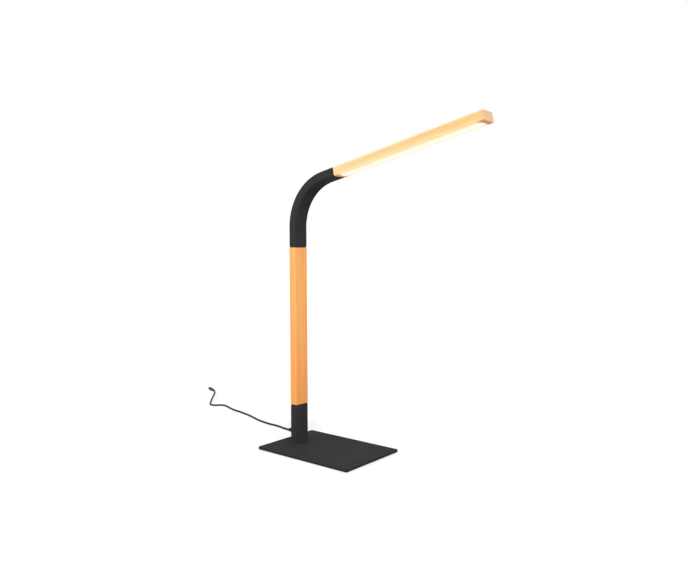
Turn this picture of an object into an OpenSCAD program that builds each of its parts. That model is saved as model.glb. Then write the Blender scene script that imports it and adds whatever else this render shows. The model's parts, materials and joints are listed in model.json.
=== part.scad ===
// Desk lamp: a wood stem and a wood light bar joined by a bent steel tube, on a flat steel base
// Frame: origin at the centre of the underside, +X towards the tip of the light bar, +Z up

/* [Base] */
// Length of the base plate, front to back
base_length = 200; // [160:1:260]
// Width of the base plate
base_width = 140; // [110:1:180]
// Thickness of the steel base plate
plate_thickness = 4; // [3.5:0.5:8]
// Radius of the base plate's corners
base_corner_r = 4; // [4:0.5:20]
// Rounding along the plate's top edge
plate_edge_round = 0.6; // [0.3:0.1:1.5]
// Thickness of the rubber pad under the plate
pad_thickness = 1.5; // [1:0.1:3]
// Distance from the plate's edge in to the pad's edge
pad_inset = 3; // [1:0.5:3.5]
// Distance from the plate's rear edge to the column's centre line
column_setback = 34; // [30:0.5:60]

/* [Tube] */
// Depth of the tube's section, in the plane of the bend
tube_depth = 16; // [15:0.5:22]
// Width of the tube's section
tube_width = 30; // [28:0.5:40]
// Outer corner radius of the tube's section
tube_corner_r = 3; // [2:0.25:4]
// Wall of the tube
tube_wall = 1.5; // [1:0.1:1.8]
// Height of the lower tube above the base plate
lower_tube_height = 66.5; // [64:0.5:110]
// Straight length of the elbow tube below its bend
elbow_lower_straight = 34; // [25:0.5:60]
// Centre-line radius of the bend
bend_radius = 85; // [60:1:120]
// Angle that the tube is bent through
bend_angle = 78; // [60:1:90]
// Straight length of the elbow tube beyond its bend
elbow_upper_straight = 26; // [22:0.5:50]

/* [Wood] */
// Length of the wood stem
stem_length = 277.5; // [200:0.5:360]
// Length of the wood light bar
bar_length = 280; // [220:1:360]
// How far the wood stands proud of the tube on each face
wood_proud = 0.2; // [0:0.05:0.5]
// Radius of the wood's long edges
wood_edge_r = 3; // [2:0.25:4]
// Rounding of the wood's ends where they meet a tube
wood_joint_round = 1.8; // [0.5:0.1:2]
// Rounding of the free end of the light bar
bar_tip_round = 1.6; // [0.8:0.1:2]
// Diameter of the wire bore through the wood
wire_bore_d = 6; // [4:0.25:7]

/* [Joiners] */
// Length of each joiner inside its tube
joiner_grip = 18; // [12:0.5:20]
// Length of the tenon in each end of the stem
stem_tenon = 24; // [15:0.5:40]
// Length of the tenon in the light bar
bar_tenon = 12; // [8:0.5:13]
// Depth of a tenon, in the plane of the bend
tenon_depth = 9; // [8:0.25:10]
// Width of a tenon
tenon_width = 20; // [14:0.5:22]
// Diameter of the wire bore through a joiner
joiner_bore_d = 5; // [4:0.25:6]
// Thickness of the gasket between the wood and a tube
gasket_thickness = 1.5; // [0.6:0.1:2]
// How far the gasket's edge lies in from the tube's faces
gasket_inset = 1; // [0.6:0.1:1.2]
// Height of the block that closes the foot of the lower tube
foot_block_height = 10; // [8:0.5:10]
// Diameter of the screws that hold the base plate
base_screw_d = 5; // [4:0.5:6]
// Length of the screws that hold the base plate
base_screw_length = 12; // [10:0.5:12]
// Distance between the two base screws
base_screw_pitch = 15; // [12:0.5:16]

/* [Light] */
// Distance from each end of the light bar to its pocket
pocket_margin = 16; // [14:0.5:30]
// Width of the pocket in the light bar's underside
pocket_width = 22; // [19:0.5:23]
// Depth of the pocket
pocket_depth = 9; // [8.5:0.25:10]
// Radius of the pocket's corners
pocket_corner_r = 4; // [2:0.5:6]
// Distance from each end of the light bar to the opal strip, whose ends lap the wood past the pocket
strip_margin = 8; // [6:0.5:13]
// Room for the lead at the root end of the pocket
wire_room = 10; // [8:0.5:16]
// Wall of the aluminium channel
channel_wall = 1.2; // [1:0.1:1.6]
// Web of the aluminium channel
channel_web = 2; // [1.6:0.1:2.4]
// Thickness of the opal diffuser
diffuser_thickness = 1.8; // [1.2:0.1:2.4]
// How deep the diffuser lies below the wood's face
diffuser_recess = 0.3; // [0:0.1:1]
// Width of the strip that carries the light chips
led_board_width = 12; // [8:0.5:13]
// Distance between light chips along the strip
led_pitch = 8; // [6:0.5:16]
// Number of screws that hold the channel
channel_screw_count = 3; // [2:1:5]

/* [Switch] */
// Height of the switch button above the base plate
switch_height = 37.5; // [33:0.5:38.5]
// Diameter of the switch button
button_d = 9; // [7:0.5:11]
// How far the button stands out of its bezel
button_proud = 1.8; // [1.6:0.1:3]
// Travel of the button
button_travel = 1.2; // [0.8:0.1:1.4]

/* [Cord] */
// Diameter of the cord
cord_d = 3.8; // [3:0.1:3.8]
// Height of the cord's gland above the base plate
gland_height = 15.5; // [15.5:0.25:24]
// Length of the gland's tapered boot
boot_length = 10; // [8:0.5:14]
// Diameter of the lead inside the lamp
inner_lead_d = 2.5; // [2:0.1:2.6]
// Diameter of the plug's moulded grip
plug_grip_d = 7.5; // [7:0.25:9]
// Outer diameter of the plug's barrel
barrel_d = 5.5; // [5.25:0.25:6.5]
// Length of the plug's barrel
barrel_length = 9.5; // [8:0.25:12]

/* [Hidden] */
$fn = 64;

// Clearances
glue_gap = 0.1;
slip_gap = 0.15;
moving_gap = 0.3;
cut = 1;

// Colours
black_coat = [0.16, 0.16, 0.17];
black_plastic = [0.10, 0.10, 0.11];
beech = [0.93, 0.66, 0.38];
pale_beech = [0.95, 0.74, 0.52];
rubber_grey = [0.22, 0.22, 0.23];
bare_steel = [0.62, 0.63, 0.65];
aluminium = [0.80, 0.81, 0.83];
board_green = [0.12, 0.36, 0.22];
board_white = [0.93, 0.93, 0.90];
chip_yellow = [0.95, 0.85, 0.40];
opal_white = [1.00, 0.98, 0.92];

// Levels along the column
plate_top = pad_thickness + plate_thickness;
tube_top = plate_top + lower_tube_height;
stem_base = tube_top + gasket_thickness;
stem_top = stem_base + stem_length;
bend_start = stem_top + gasket_thickness + elbow_lower_straight;
bar_straight = elbow_upper_straight + gasket_thickness;
column_x = -base_length / 2 + column_setback;
bar_root = [
    column_x + bend_radius * (1 - cos(bend_angle)) + bar_straight * sin(bend_angle),
    0,
    bend_start + bend_radius * sin(bend_angle) + bar_straight * cos(bend_angle)
];

// Sections of the tube and of the wood
tube_bore_depth = tube_depth - 2 * tube_wall;
tube_bore_width = tube_width - 2 * tube_wall;
tube_bore_r = max(0.5, tube_corner_r - tube_wall);
spare_angle = 20;
wood_depth = tube_depth + 2 * wood_proud;
wood_width = tube_width + 2 * wood_proud;
plug_depth = tube_bore_depth - 2 * glue_gap;
plug_width = tube_bore_width - 2 * glue_gap;
plug_corner_r = tube_bore_r - glue_gap;
tenon_r = 1.5;
mortise_end_gap = 0.5;

// Base screws, countersunk from below
screw_r = base_screw_d / 2;
screw_head_ratio = 0.96;
screw_head_r = base_screw_d * screw_head_ratio;
screw_head_height = screw_head_r - screw_r;
screw_socket_ratio = 0.6;
screw_socket_d = base_screw_d * screw_socket_ratio;
screw_socket_depth = 1.4;
plate_hole_gap = 0.2;
screw_hole_r = screw_r + plate_hole_gap;

// Pocket and light unit, in the light bar's own frame: z along the bar, +x out of its underside
pocket_length = bar_length - 2 * pocket_margin;
strip_length = bar_length - 2 * strip_margin;
pocket_floor = wood_depth / 2 - pocket_depth;
pocket_end = bar_length - pocket_margin;
channel_start = pocket_margin + wire_room;
channel_end = pocket_end - pocket_corner_r;
channel_width = pocket_width - 2 * slip_gap;
channel_back = pocket_floor + glue_gap;
channel_face = channel_back + channel_web;
diffuser_face = wood_depth / 2 - diffuser_recess;
diffuser_back = diffuser_face - diffuser_thickness;
channel_lip = diffuser_back - glue_gap;
led_board_thickness = 1;
led_board_tape = 0.05;
led_board_back = channel_face + led_board_tape;
led_board_face = led_board_back + led_board_thickness;
led_board_end_gap = 2;
led_board_tail = 6;
led_board_start = channel_start - led_board_tail;
led_board_length = channel_end - led_board_end_gap - led_board_start;
lead_end_gap = 1;
lead_reach = bar_straight + channel_start - lead_end_gap;
chip_length = 3.5;
chip_width = 2.8;
chip_height = 0.8;
chip_start = channel_start + led_pitch / 2;
chip_count = floor((channel_end - led_board_end_gap - chip_start - chip_length / 2) / led_pitch) + 1;
rail_depth = 2;
rail_wall = 1.2;
channel_screw_r = 1.2;
channel_screw_head_r = 2.4;
channel_screw_depth = 5;

// Control inside the lower tube
carrier_base = plate_top + foot_block_height + glue_gap;
carrier_top = tube_top - joiner_grip - glue_gap;
carrier_wall = 2;
carrier_floor = 1.5;
board_x = column_x + 1;
board_thickness = 1.6;
board_slot = 0.9;
board_side = plug_width / 2 - carrier_wall + board_slot;
board_base = carrier_base + carrier_floor + glue_gap;
board_top_gap = 0.5;
board_top = carrier_top - board_top_gap;
carrier_back_gap = 3;
carrier_depth = plug_depth - carrier_back_gap;
switch_z = plate_top + switch_height;
gland_z = plate_top + gland_height;
rear_face = column_x - tube_depth / 2;
rear_wall = rear_face + tube_wall;
terminal_depth = 3;
terminal_width = 8;
terminal_height = 4;
terminal_face = board_x - terminal_depth;
switch_size = 7;
switch_depth = 3.2;
switch_face = board_x - switch_depth;
bezel_flange = 1;
bezel_wall = 1;
bezel_rim = 1.5;
bezel_r = button_d / 2 + moving_gap + bezel_wall;
bezel_flange_r = bezel_r + bezel_rim;
bezel_depth = bezel_flange + tube_wall;
bezel_inside = 1.2;
button_r = button_d / 2;
button_face = rear_face - bezel_flange - button_proud;
button_rim_r = bezel_r;
button_rim_back = rear_wall + bezel_inside + moving_gap;
button_rim_thickness = 0.8;
post_r = 1.7;
post_reach = 0.5;
post_tip = switch_face + post_reach;

// Gland and plug
gland_flange = 1.5;
gland_flange_r = 5.5;
gland_neck_r = 4;
gland_nut_r = 5;
gland_nut = 1.2;
boot_root_r = 3.8;
boot_wall = 0.7;
boot_tip_r = cord_d / 2 + boot_wall;
boot_grooves = 3;
boot_groove_width = 1.2;
boot_groove_depth = 0.5;
cord_exit = [rear_face - gland_flange - boot_length, 0, gland_z];
plug_heading = 160;
plug_boot = 10;
plug_grip = 16;
plug_start = [-536.5, 193, plug_grip_d / 2];
grip_edge = 0.6;
grip_ribs = 5;
grip_rib_width = 1;
grip_rib_depth = 0.35;
barrel_bore_r = 1.25;
sleeve_wall = 0.65;
sleeve_bore_r = barrel_d / 2 - sleeve_wall;
contact_wall = 0.3;
contact_r = barrel_bore_r + contact_wall;
insulator_recess = 0.2;
contact_recess = 1;

// Routes of the cord's free stretches, chosen by hand
lead_points = [
    [-89.5, 0, 21], [-94.3, 1.8, 20.8], [-97.6, 6, 20.4], [-99.3, 11.5, 19.9], [-102, 17.3, 19.4],
    [-106, 22.5, 19.1], [-111, 27.8, 19], [-116.3, 33.4, 19]
];
run_points = [
    [-137, 53, 1.9], [-147, 53, 1.9], [-159, 54.5, 1.9], [-173, 57.5, 1.9], [-187, 59.5, 1.9],
    [-205, 60, 1.9], [-225, 63, 1.9], [-245, 67.5, 1.9], [-268, 75.5, 1.9], [-292, 83, 1.9],
    [-322, 90, 1.9], [-348, 94, 1.9], [-374, 102, 1.9], [-388, 107, 1.9], [-397.5, 109, 1.9],
    [-406, 107, 1.9], [-411.5, 101, 1.9], [-416.5, 96, 1.9], [-424, 94, 1.9], [-432.5, 98, 1.9],
    [-446, 110, 1.9], [-470, 133, 1.9], [-494, 157.5, 1.9], [-507, 171, 1.9], [-516.5, 180, 2.1],
    [-524.5, 186.3, 2.8], [-529.5, 189.6, 3.4]
];

// The hank: stacked loops lying in line with the column as seen from the front, drawn in by a tie
hank_place = [-116.5, 54];
hank_heading = 133.4;
hank_run = 72;
hank_fold_r = 11.4;
hank_step = 2.2;
hank_layer = 4.3;
hank_loops = 4;
hank_waist = 3;
hank_lift = 1.3;
hank_run_rings = 4;
hank_fold_rings = 8;
hank_quarter = 0.25 * hank_run / (hank_run + PI * (hank_fold_r + hank_step / 2));
tie_thickness = 0.9;
tie_width = 8;
tie_corner_r = 2.5;

function unit(v) = v / norm(v);
function eased_step(x) = x <= 0 ? 0 : x >= 1 ? 1 : x * x * (3 - 2 * x);

// Half width of the hank's loop: it winds in during one loop and out during the next
function zigzag(x) = 1 - abs(1 - (x - 2 * floor(x / 2)));
function hank_half_width(t) = hank_fold_r + hank_step * (t < 1 ? 1 - t : zigzag(t - 1));
function hank_drop(t, k) = eased_step((t - k + hank_quarter) / (2 * hank_quarter));
function hank_level(t) = hank_loops - sum_list([for (k = [0:hank_loops - 1]) hank_drop(t, k)]);
function sum_list(v) = len(v) == 0 ? 0 : v * [for (item = v) 1];

// One point of the hank, in its own frame: x along the runs, y to the left, t counts loops, q is the share
// of a loop done and w is the loop's half width
function hank_flat(q, w) =
    let (run_share = 2 * hank_quarter, fold_share = 0.5 - run_share)
    q < run_share ? [hank_run * q / run_share, w]
    : q < 0.5 ? let (s = 180 * (q - run_share) / fold_share) [hank_run + w * sin(s), w * cos(s)]
    : q < 0.5 + run_share ? [hank_run * (1 - (q - 0.5) / run_share), -w]
    : let (s = 180 * (q - 0.5 - run_share) / fold_share) [-w * sin(s), -w * cos(s)];
function hank_point(t) =
    let (
        flat = hank_flat(t + hank_quarter - floor(t + hank_quarter + 1e-9), hank_half_width(t)),
        waist = pow(sin(180 * max(0, min(1, flat[0] / hank_run))), 2),
        side = flat[1] > 0 ? 1 : -1
    )
    [
        flat[0],
        flat[1] - side * waist * hank_waist,
        cord_d / 2 + hank_layer * hank_level(t) + waist * hank_lift
    ];
function hank_to_part(p) =
    [
        hank_place[0] + p[0] * cos(hank_heading) - p[1] * sin(hank_heading),
        hank_place[1] + p[0] * sin(hank_heading) + p[1] * cos(hank_heading),
        p[2]
    ];
hank_turns = [
    for (loop = [0:hank_loops - 1])
        for (half = [0, 0.5])
            for (share = concat(
                [for (i = [0:hank_run_rings - 1]) 2 * hank_quarter * i / hank_run_rings],
                [for (i = [0:hank_fold_rings - 1])
                    2 * hank_quarter + (0.5 - 2 * hank_quarter) * i / hank_fold_rings]
            ))
                loop + half + share - hank_quarter
];
hank_first = hank_point(-hank_quarter);
hank_last = hank_point(hank_loops - hank_quarter);
hank_path = concat(
    [hank_first - [cord_d, 0, 0]],
    [for (t = hank_turns) hank_point(t)],
    [hank_last, hank_last + [cord_d, 0, 0]]
);

// The least gap between loops of the hank, measured on points along its rings and between them
hank_samples = [
    for (i = [0:len(hank_path) - 2])
        for (s = [0, 1 / 3, 2 / 3])
            hank_path[i] * (1 - s) + hank_path[i + 1] * s
];
sample_skip = 14;
hank_gap = min([
    for (i = [0:len(hank_samples) - 1 - sample_skip])
        for (j = [i + sample_skip:len(hank_samples) - 1])
            norm(hank_samples[i] - hank_samples[j])
]) - cord_d;

// The stretches run straight where they meet the hank and the plug
hank_end = hank_path[len(hank_path) - 1];
plug_way = [cos(plug_heading), sin(plug_heading), 0];
lead_path = concat(
    [cord_exit],
    lead_points,
    [hank_to_part(hank_path[0] - [cord_d, 0, 0]), hank_to_part(hank_path[0])]
);
run_path = concat(
    [hank_to_part(hank_end), hank_to_part(hank_end + [cord_d, 0, 0])],
    run_points,
    [plug_start - cord_d * plug_way, plug_start]
);

function path_length(p) = sum_list([for (i = [1:len(p) - 1]) norm(p[i] - p[i - 1])]);
echo(hank_least_gap = hank_gap);
echo(cord_length = path_length(lead_path) + path_length(hank_path) + path_length(run_path));

// A round tube through a list of points
function tangent(p, i) = unit(p[min(i + 1, len(p) - 1)] - p[max(i - 1, 0)]);
function ring(c, t, r, n) =
    let (side = unit(cross([0, 0, 1], t)), up = cross(t, side))
    [for (k = [0:n - 1]) c + r * (cos(360 * k / n) * side + sin(360 * k / n) * up)];
module swept_tube(path, r, n) {
    last = (len(path) - 1) * n;
    points = [for (i = [0:len(path) - 1]) each ring(path[i], tangent(path, i), r, n)];
    sides = [
        for (i = [0:len(path) - 2])
            for (k = [0:n - 1])
                let (a = i * n + k, b = i * n + (k + 1) % n)
                    each [[a, a + n, b + n], [a, b + n, b]]
    ];
    start_cap = [for (k = [1:n - 2]) [0, k, k + 1]];
    end_cap_faces = [for (k = [1:n - 2]) [last, last + k + 1, last + k]];
    polyhedron(points = points, faces = concat(sides, start_cap, end_cap_faces));
}

// A rectangle with round corners, centred
module rounded_rect(length, width, r) {
    square([length - 2 * r, width], center = true);
    square([length, width - 2 * r], center = true);
    for (x = [-1, 1])
        for (y = [-1, 1])
            translate([x * (length / 2 - r), y * (width / 2 - r)]) circle(r);
}

// Half a slice through a rounded edge: a strip whose outer top corner is round
module edge_slice(half_width, round_r) {
    square([half_width - round_r, round_r]);
    translate([half_width - round_r, 0]) intersection() {
        circle(round_r);
        square(round_r);
    }
}

// The rounded end of a bar with round corners, standing on z = 0
module eased_end(length, width, r, round_r) {
    for (side = [0, 180]) {
        rotate([90, 0, side]) linear_extrude(width - 2 * r, center = true)
            edge_slice(length / 2, round_r);
        rotate([90, 0, side + 90]) linear_extrude(length - 2 * r, center = true)
            edge_slice(width / 2, round_r);
    }
    for (x = [-1, 1])
        for (y = [-1, 1])
            translate([x * (length / 2 - r), y * (width / 2 - r), 0]) rotate_extrude() edge_slice(r, round_r);
}

// A bar along z with round long edges and rounded ends, of which either end may be left square
module eased_bar(length, width, height, r, low_round, high_round) {
    translate([0, 0, low_round]) linear_extrude(height - low_round - high_round)
        rounded_rect(length, width, r);
    translate([0, 0, height - high_round]) eased_end(length, width, r, high_round);
    if (low_round > 0) translate([0, 0, low_round]) mirror([0, 0, 1]) eased_end(length, width, r, low_round);
}

module tube_section() {
    difference() {
        rounded_rect(tube_depth, tube_width, tube_corner_r);
        rounded_rect(tube_bore_depth, tube_bore_width, tube_bore_r);
    }
}

// A plug for the tube's end with a tenon for the wood, bored for the lead; z = 0 is the wood's end
module joiner(tenon_length) {
    difference() {
        translate([0, 0, -gasket_thickness]) union() {
            translate([0, 0, -joiner_grip]) linear_extrude(joiner_grip)
                rounded_rect(plug_depth, plug_width, plug_corner_r);
            translate([0, 0, -cut]) linear_extrude(gasket_thickness + tenon_length + cut)
                rounded_rect(tenon_depth, tenon_width, tenon_r);
        }
        translate([0, 0, -gasket_thickness - joiner_grip - cut])
            cylinder(d = joiner_bore_d, h = joiner_grip + gasket_thickness + tenon_length + 2 * cut);
    }
}

// The gasket that leaves a shadow gap between the wood and the tube; z = 0 is the wood's end
module gasket() {
    translate([0, 0, -gasket_thickness]) linear_extrude(gasket_thickness) difference() {
        rounded_rect(
            tube_depth - 2 * gasket_inset,
            tube_width - 2 * gasket_inset,
            tube_corner_r - gasket_inset
        );
        rounded_rect(tenon_depth + 2 * glue_gap, tenon_width + 2 * glue_gap, tenon_r + glue_gap);
    }
}

// The mortise that takes a tenon; z = 0 is the wood's end
module mortise(tenon_length) {
    translate([0, 0, -cut]) linear_extrude(tenon_length + mortise_end_gap + cut)
        rounded_rect(tenon_depth + 2 * glue_gap, tenon_width + 2 * glue_gap, tenon_r + glue_gap);
}

module at_column(z) {
    translate([column_x, 0, z]) children();
}

module at_bar() {
    translate(bar_root) rotate([0, bend_angle, 0]) children();
}

// Sweeps a section up the column, round the bend and on along the light bar's line.
// All of it is turned from the middle of the bend, and the bend is cut where the upper straight starts,
// so that the three stretches meet without a step
module along_bend(lower_length, upper_length) {
    half = bend_angle / 2;
    reach = bend_radius + tube_width;
    bend_centre = [column_x + bend_radius, 0, bend_start];
    translate(bend_centre) mirror([1, 0, 0]) rotate([90, 0, 0]) rotate([0, 0, half]) {
        rotate([0, 0, -half]) translate([bend_radius, -lower_length, 0]) rotate([-90, 0, 0])
            linear_extrude(lower_length) children();
        difference() {
            rotate([0, 0, -half]) rotate_extrude(angle = bend_angle + spare_angle)
                translate([bend_radius, 0]) children();
            rotate([0, 0, half]) translate([0, 0, -reach]) cube(2 * reach);
        }
        rotate([0, 0, half]) translate([bend_radius, 0, 0]) rotate([-90, 0, 0])
            linear_extrude(upper_length) children();
    }
}

// A plate in the light bar's underside, from depth x: as wide as the pocket, with its corners, less a gap
module slot_plate(length, x, thickness, gap) {
    translate([x, 0, bar_length / 2]) rotate([0, 90, 0]) linear_extrude(thickness)
        rounded_rect(length - 2 * gap, pocket_width - 2 * gap, pocket_corner_r - gap);
}

module base_screw_places() {
    for (side = [-1, 1]) translate([column_x, side * base_screw_pitch / 2, pad_thickness]) children();
}

module channel_screw_places() {
    span = channel_end - channel_start;
    for (i = [0:channel_screw_count - 1])
        translate([channel_face, 0, channel_start + span * (i + 0.5) / channel_screw_count])
            rotate([0, -90, 0]) children();
}

module base_pad() {
    color(rubber_grey) linear_extrude(pad_thickness)
        rounded_rect(base_length - 2 * pad_inset, base_width - 2 * pad_inset, base_corner_r - pad_inset);
}

module base_plate() {
    color(black_coat) difference() {
        translate([0, 0, pad_thickness])
            eased_bar(base_length, base_width, plate_thickness, base_corner_r, 0, plate_edge_round);
        base_screw_places() {
            translate([0, 0, -cut]) cylinder(r = screw_hole_r, h = plate_thickness + 2 * cut);
            cylinder(r1 = screw_head_r + plate_hole_gap, r2 = screw_hole_r, h = screw_head_height);
        }
    }
}

module base_screws() {
    color(bare_steel) base_screw_places() difference() {
        union() {
            cylinder(r1 = screw_head_r, r2 = screw_r, h = screw_head_height);
            cylinder(r = screw_r, h = base_screw_length);
        }
        translate([0, 0, -cut]) cylinder(d = screw_socket_d, h = screw_socket_depth + cut, $fn = 6);
    }
}

module foot_block() {
    color(bare_steel) difference() {
        at_column(plate_top) linear_extrude(foot_block_height)
            rounded_rect(plug_depth, plug_width, plug_corner_r);
        base_screw_places() cylinder(r = screw_r + glue_gap, h = plate_thickness + foot_block_height + cut);
    }
}

// A round hole through the tube's rear wall
module rear_hole(z, r) {
    translate([rear_face - cut, 0, z]) rotate([0, 90, 0]) cylinder(r = r, h = tube_wall + 2 * cut);
}

module lower_tube() {
    color(black_coat) difference() {
        at_column(plate_top) linear_extrude(lower_tube_height) tube_section();
        rear_hole(switch_z, bezel_r + slip_gap);
        rear_hole(gland_z, gland_neck_r + slip_gap);
    }
}

module lower_joiner() {
    color(bare_steel) at_column(stem_base) joiner(stem_tenon);
}

module lower_gasket() {
    color(black_plastic) at_column(stem_base) gasket();
}

module stem() {
    color(beech) at_column(stem_base) difference() {
        eased_bar(wood_depth, wood_width, stem_length, wood_edge_r, wood_joint_round, wood_joint_round);
        mortise(stem_tenon);
        translate([0, 0, stem_length]) mirror([0, 0, 1]) mortise(stem_tenon);
        cylinder(d = wire_bore_d, h = stem_length);
    }
}

module upper_gasket() {
    color(black_plastic) at_column(stem_top) mirror([0, 0, 1]) gasket();
}

module upper_joiner() {
    color(bare_steel) at_column(stem_top) mirror([0, 0, 1]) joiner(stem_tenon);
}

module elbow_tube() {
    color(black_coat) along_bend(elbow_lower_straight, elbow_upper_straight) tube_section();
}

module bar_joiner() {
    color(bare_steel) at_bar() joiner(bar_tenon);
}

module bar_gasket() {
    color(black_plastic) at_bar() gasket();
}

module light_bar() {
    color(pale_beech) at_bar() difference() {
        eased_bar(wood_depth, wood_width, bar_length, wood_edge_r, wood_joint_round, bar_tip_round);
        mortise(bar_tenon);
        cylinder(d = wire_bore_d, h = channel_start);
        slot_plate(pocket_length, pocket_floor, pocket_depth + cut, 0);
        slot_plate(strip_length, channel_lip, wood_depth / 2 - channel_lip + cut, 0);
        channel_screw_places()
            cylinder(r = channel_screw_r + glue_gap, h = channel_web + channel_screw_depth + cut);
    }
}

module led_channel() {
    color(aluminium) at_bar() difference() {
        translate([0, 0, channel_start]) linear_extrude(channel_end - channel_start) difference() {
            translate([channel_back, -channel_width / 2]) square([channel_lip - channel_back, channel_width]);
            translate([channel_face, -channel_width / 2 + channel_wall])
                square([channel_lip - channel_face + cut, channel_width - 2 * channel_wall]);
        }
        channel_screw_places() {
            translate([0, 0, -cut]) cylinder(r = channel_screw_r + glue_gap, h = channel_web + 2 * cut);
            cylinder(
                r1 = channel_screw_head_r + glue_gap,
                r2 = channel_screw_r + glue_gap,
                h = channel_screw_head_r - channel_screw_r
            );
        }
    }
}

module channel_screws() {
    color(bare_steel) at_bar() channel_screw_places() {
        cylinder(
            r1 = channel_screw_head_r,
            r2 = channel_screw_r,
            h = channel_screw_head_r - channel_screw_r
        );
        cylinder(r = channel_screw_r, h = channel_web + channel_screw_depth);
    }
}

module led_board() {
    color(board_white) at_bar() translate([led_board_back, -led_board_width / 2, led_board_start])
        cube([led_board_thickness, led_board_width, led_board_length]);
}

module led_chips() {
    color(chip_yellow) at_bar() for (i = [0:chip_count - 1])
        translate([led_board_face, -chip_width / 2, chip_start + i * led_pitch - chip_length / 2])
            cube([chip_height, chip_width, chip_length]);
}

module end_cap() {
    color(board_white) at_bar() intersection() {
        slot_plate(pocket_length, channel_back, channel_lip - channel_back, slip_gap);
        translate([-wood_depth, -wood_width, channel_end + glue_gap])
            cube([2 * wood_depth, 2 * wood_width, pocket_corner_r]);
    }
}

module diffuser() {
    rail_middle = channel_width / 2 - channel_wall - slip_gap - rail_wall / 2;
    rail_length = channel_end - channel_start;
    color(opal_white) at_bar() {
        slot_plate(strip_length, diffuser_back, diffuser_thickness, slip_gap);
        for (side = [-1, 1])
            translate([diffuser_back - rail_depth, side * rail_middle - rail_wall / 2, channel_start])
                cube([rail_depth + diffuser_thickness / 2, rail_wall, rail_length]);
    }
}

module inner_lead() {
    color(black_plastic) along_bend(bend_start - board_top, lead_reach) circle(d = inner_lead_d);
}

module board_carrier() {
    inner_side = plug_width / 2 - carrier_wall;
    front = plug_depth / 2;
    color(black_plastic) at_column(carrier_base) difference() {
        linear_extrude(carrier_top - carrier_base) rounded_rect(plug_depth, plug_width, plug_corner_r);
        translate([-plug_depth, -plug_width, -cut])
            cube([plug_depth + front - carrier_depth, 2 * plug_width, carrier_top]);
        translate([-plug_depth, -inner_side, carrier_floor])
            cube([plug_depth + front - carrier_wall, 2 * inner_side, carrier_top]);
        translate([board_x - column_x - glue_gap, -board_side - glue_gap, carrier_floor])
            cube([board_thickness + 2 * glue_gap, 2 * board_side + 2 * glue_gap, carrier_top]);
    }
}

module dimmer_board() {
    color(board_green) translate([board_x, -board_side, board_base])
        cube([board_thickness, 2 * board_side, board_top - board_base]);
}

module board_terminals() {
    color(board_white) {
        translate([terminal_face, -terminal_width / 2, board_top - terminal_height])
            cube([terminal_depth, terminal_width, terminal_height]);
        translate([terminal_face, -terminal_width / 2, gland_z - terminal_height / 2])
            cube([terminal_depth, terminal_width, terminal_height]);
    }
}

module switch_body() {
    color(black_plastic) difference() {
        translate([switch_face, -switch_size / 2, switch_z - switch_size / 2])
            cube([switch_depth, switch_size, switch_size]);
        translate([switch_face - cut, 0, switch_z]) rotate([0, 90, 0])
            cylinder(r = post_r + moving_gap, h = button_travel + post_reach + moving_gap + cut);
    }
}

module switch_bezel() {
    color(black_plastic) translate([rear_face - bezel_flange, 0, switch_z]) rotate([0, 90, 0]) difference() {
        union() {
            cylinder(r = bezel_flange_r, h = bezel_flange);
            cylinder(r = bezel_r, h = bezel_depth + bezel_inside);
        }
        translate([0, 0, -cut]) cylinder(r = button_r + moving_gap, h = bezel_depth + bezel_inside + 2 * cut);
    }
}

module switch_button() {
    cap_round = 0.8;
    color(black_plastic) translate([button_face, 0, switch_z]) rotate([0, 90, 0]) {
        translate([0, 0, cap_round]) mirror([0, 0, 1]) rotate_extrude() edge_slice(button_r, cap_round);
        translate([0, 0, cap_round]) cylinder(r = button_r, h = button_rim_back - button_face - cap_round);
        translate([0, 0, button_rim_back - button_face]) cylinder(r = button_rim_r, h = button_rim_thickness);
        cylinder(r = post_r, h = post_tip - button_face);
    }
}

// Outline of the gland's boot: a taper with rings cut round it
module boot_profile() {
    difference() {
        polygon([[0, 0], [boot_root_r, 0], [boot_tip_r, boot_length], [0, boot_length]]);
        for (i = [1:boot_grooves]) {
            z = boot_length * i / (boot_grooves + 1);
            r = boot_root_r + (boot_tip_r - boot_root_r) * z / boot_length;
            translate([r - boot_groove_depth, z - boot_groove_width / 2])
                square([boot_root_r, boot_groove_width]);
        }
    }
}

module cord_gland() {
    color(black_plastic) translate([rear_face, 0, gland_z]) difference() {
        union() {
            rotate([0, -90, 0]) cylinder(r = gland_flange_r, h = gland_flange);
            translate([-gland_flange, 0, 0]) rotate([0, -90, 0]) rotate_extrude() boot_profile();
            rotate([0, 90, 0]) cylinder(r = gland_neck_r, h = tube_wall + slip_gap + gland_nut);
            translate([tube_wall + slip_gap, 0, 0]) rotate([0, 90, 0])
                cylinder(r = gland_nut_r, h = gland_nut);
        }
        translate([-gland_flange - boot_length - cut, 0, 0]) rotate([0, 90, 0])
            cylinder(d = cord_d + 2 * glue_gap, h = gland_flange + boot_length + tube_depth);
    }
}

module cord_inner_end() {
    color(black_plastic) translate(cord_exit) rotate([0, 90, 0])
        cylinder(d = cord_d, h = terminal_face - cord_exit[0]);
}

module cord_lead() {
    color(black_plastic) swept_tube(lead_path, cord_d / 2, 8);
}

module cord_hank() {
    color(black_plastic) swept_tube([for (p = hank_path) hank_to_part(p)], cord_d / 2, 6);
}

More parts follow.
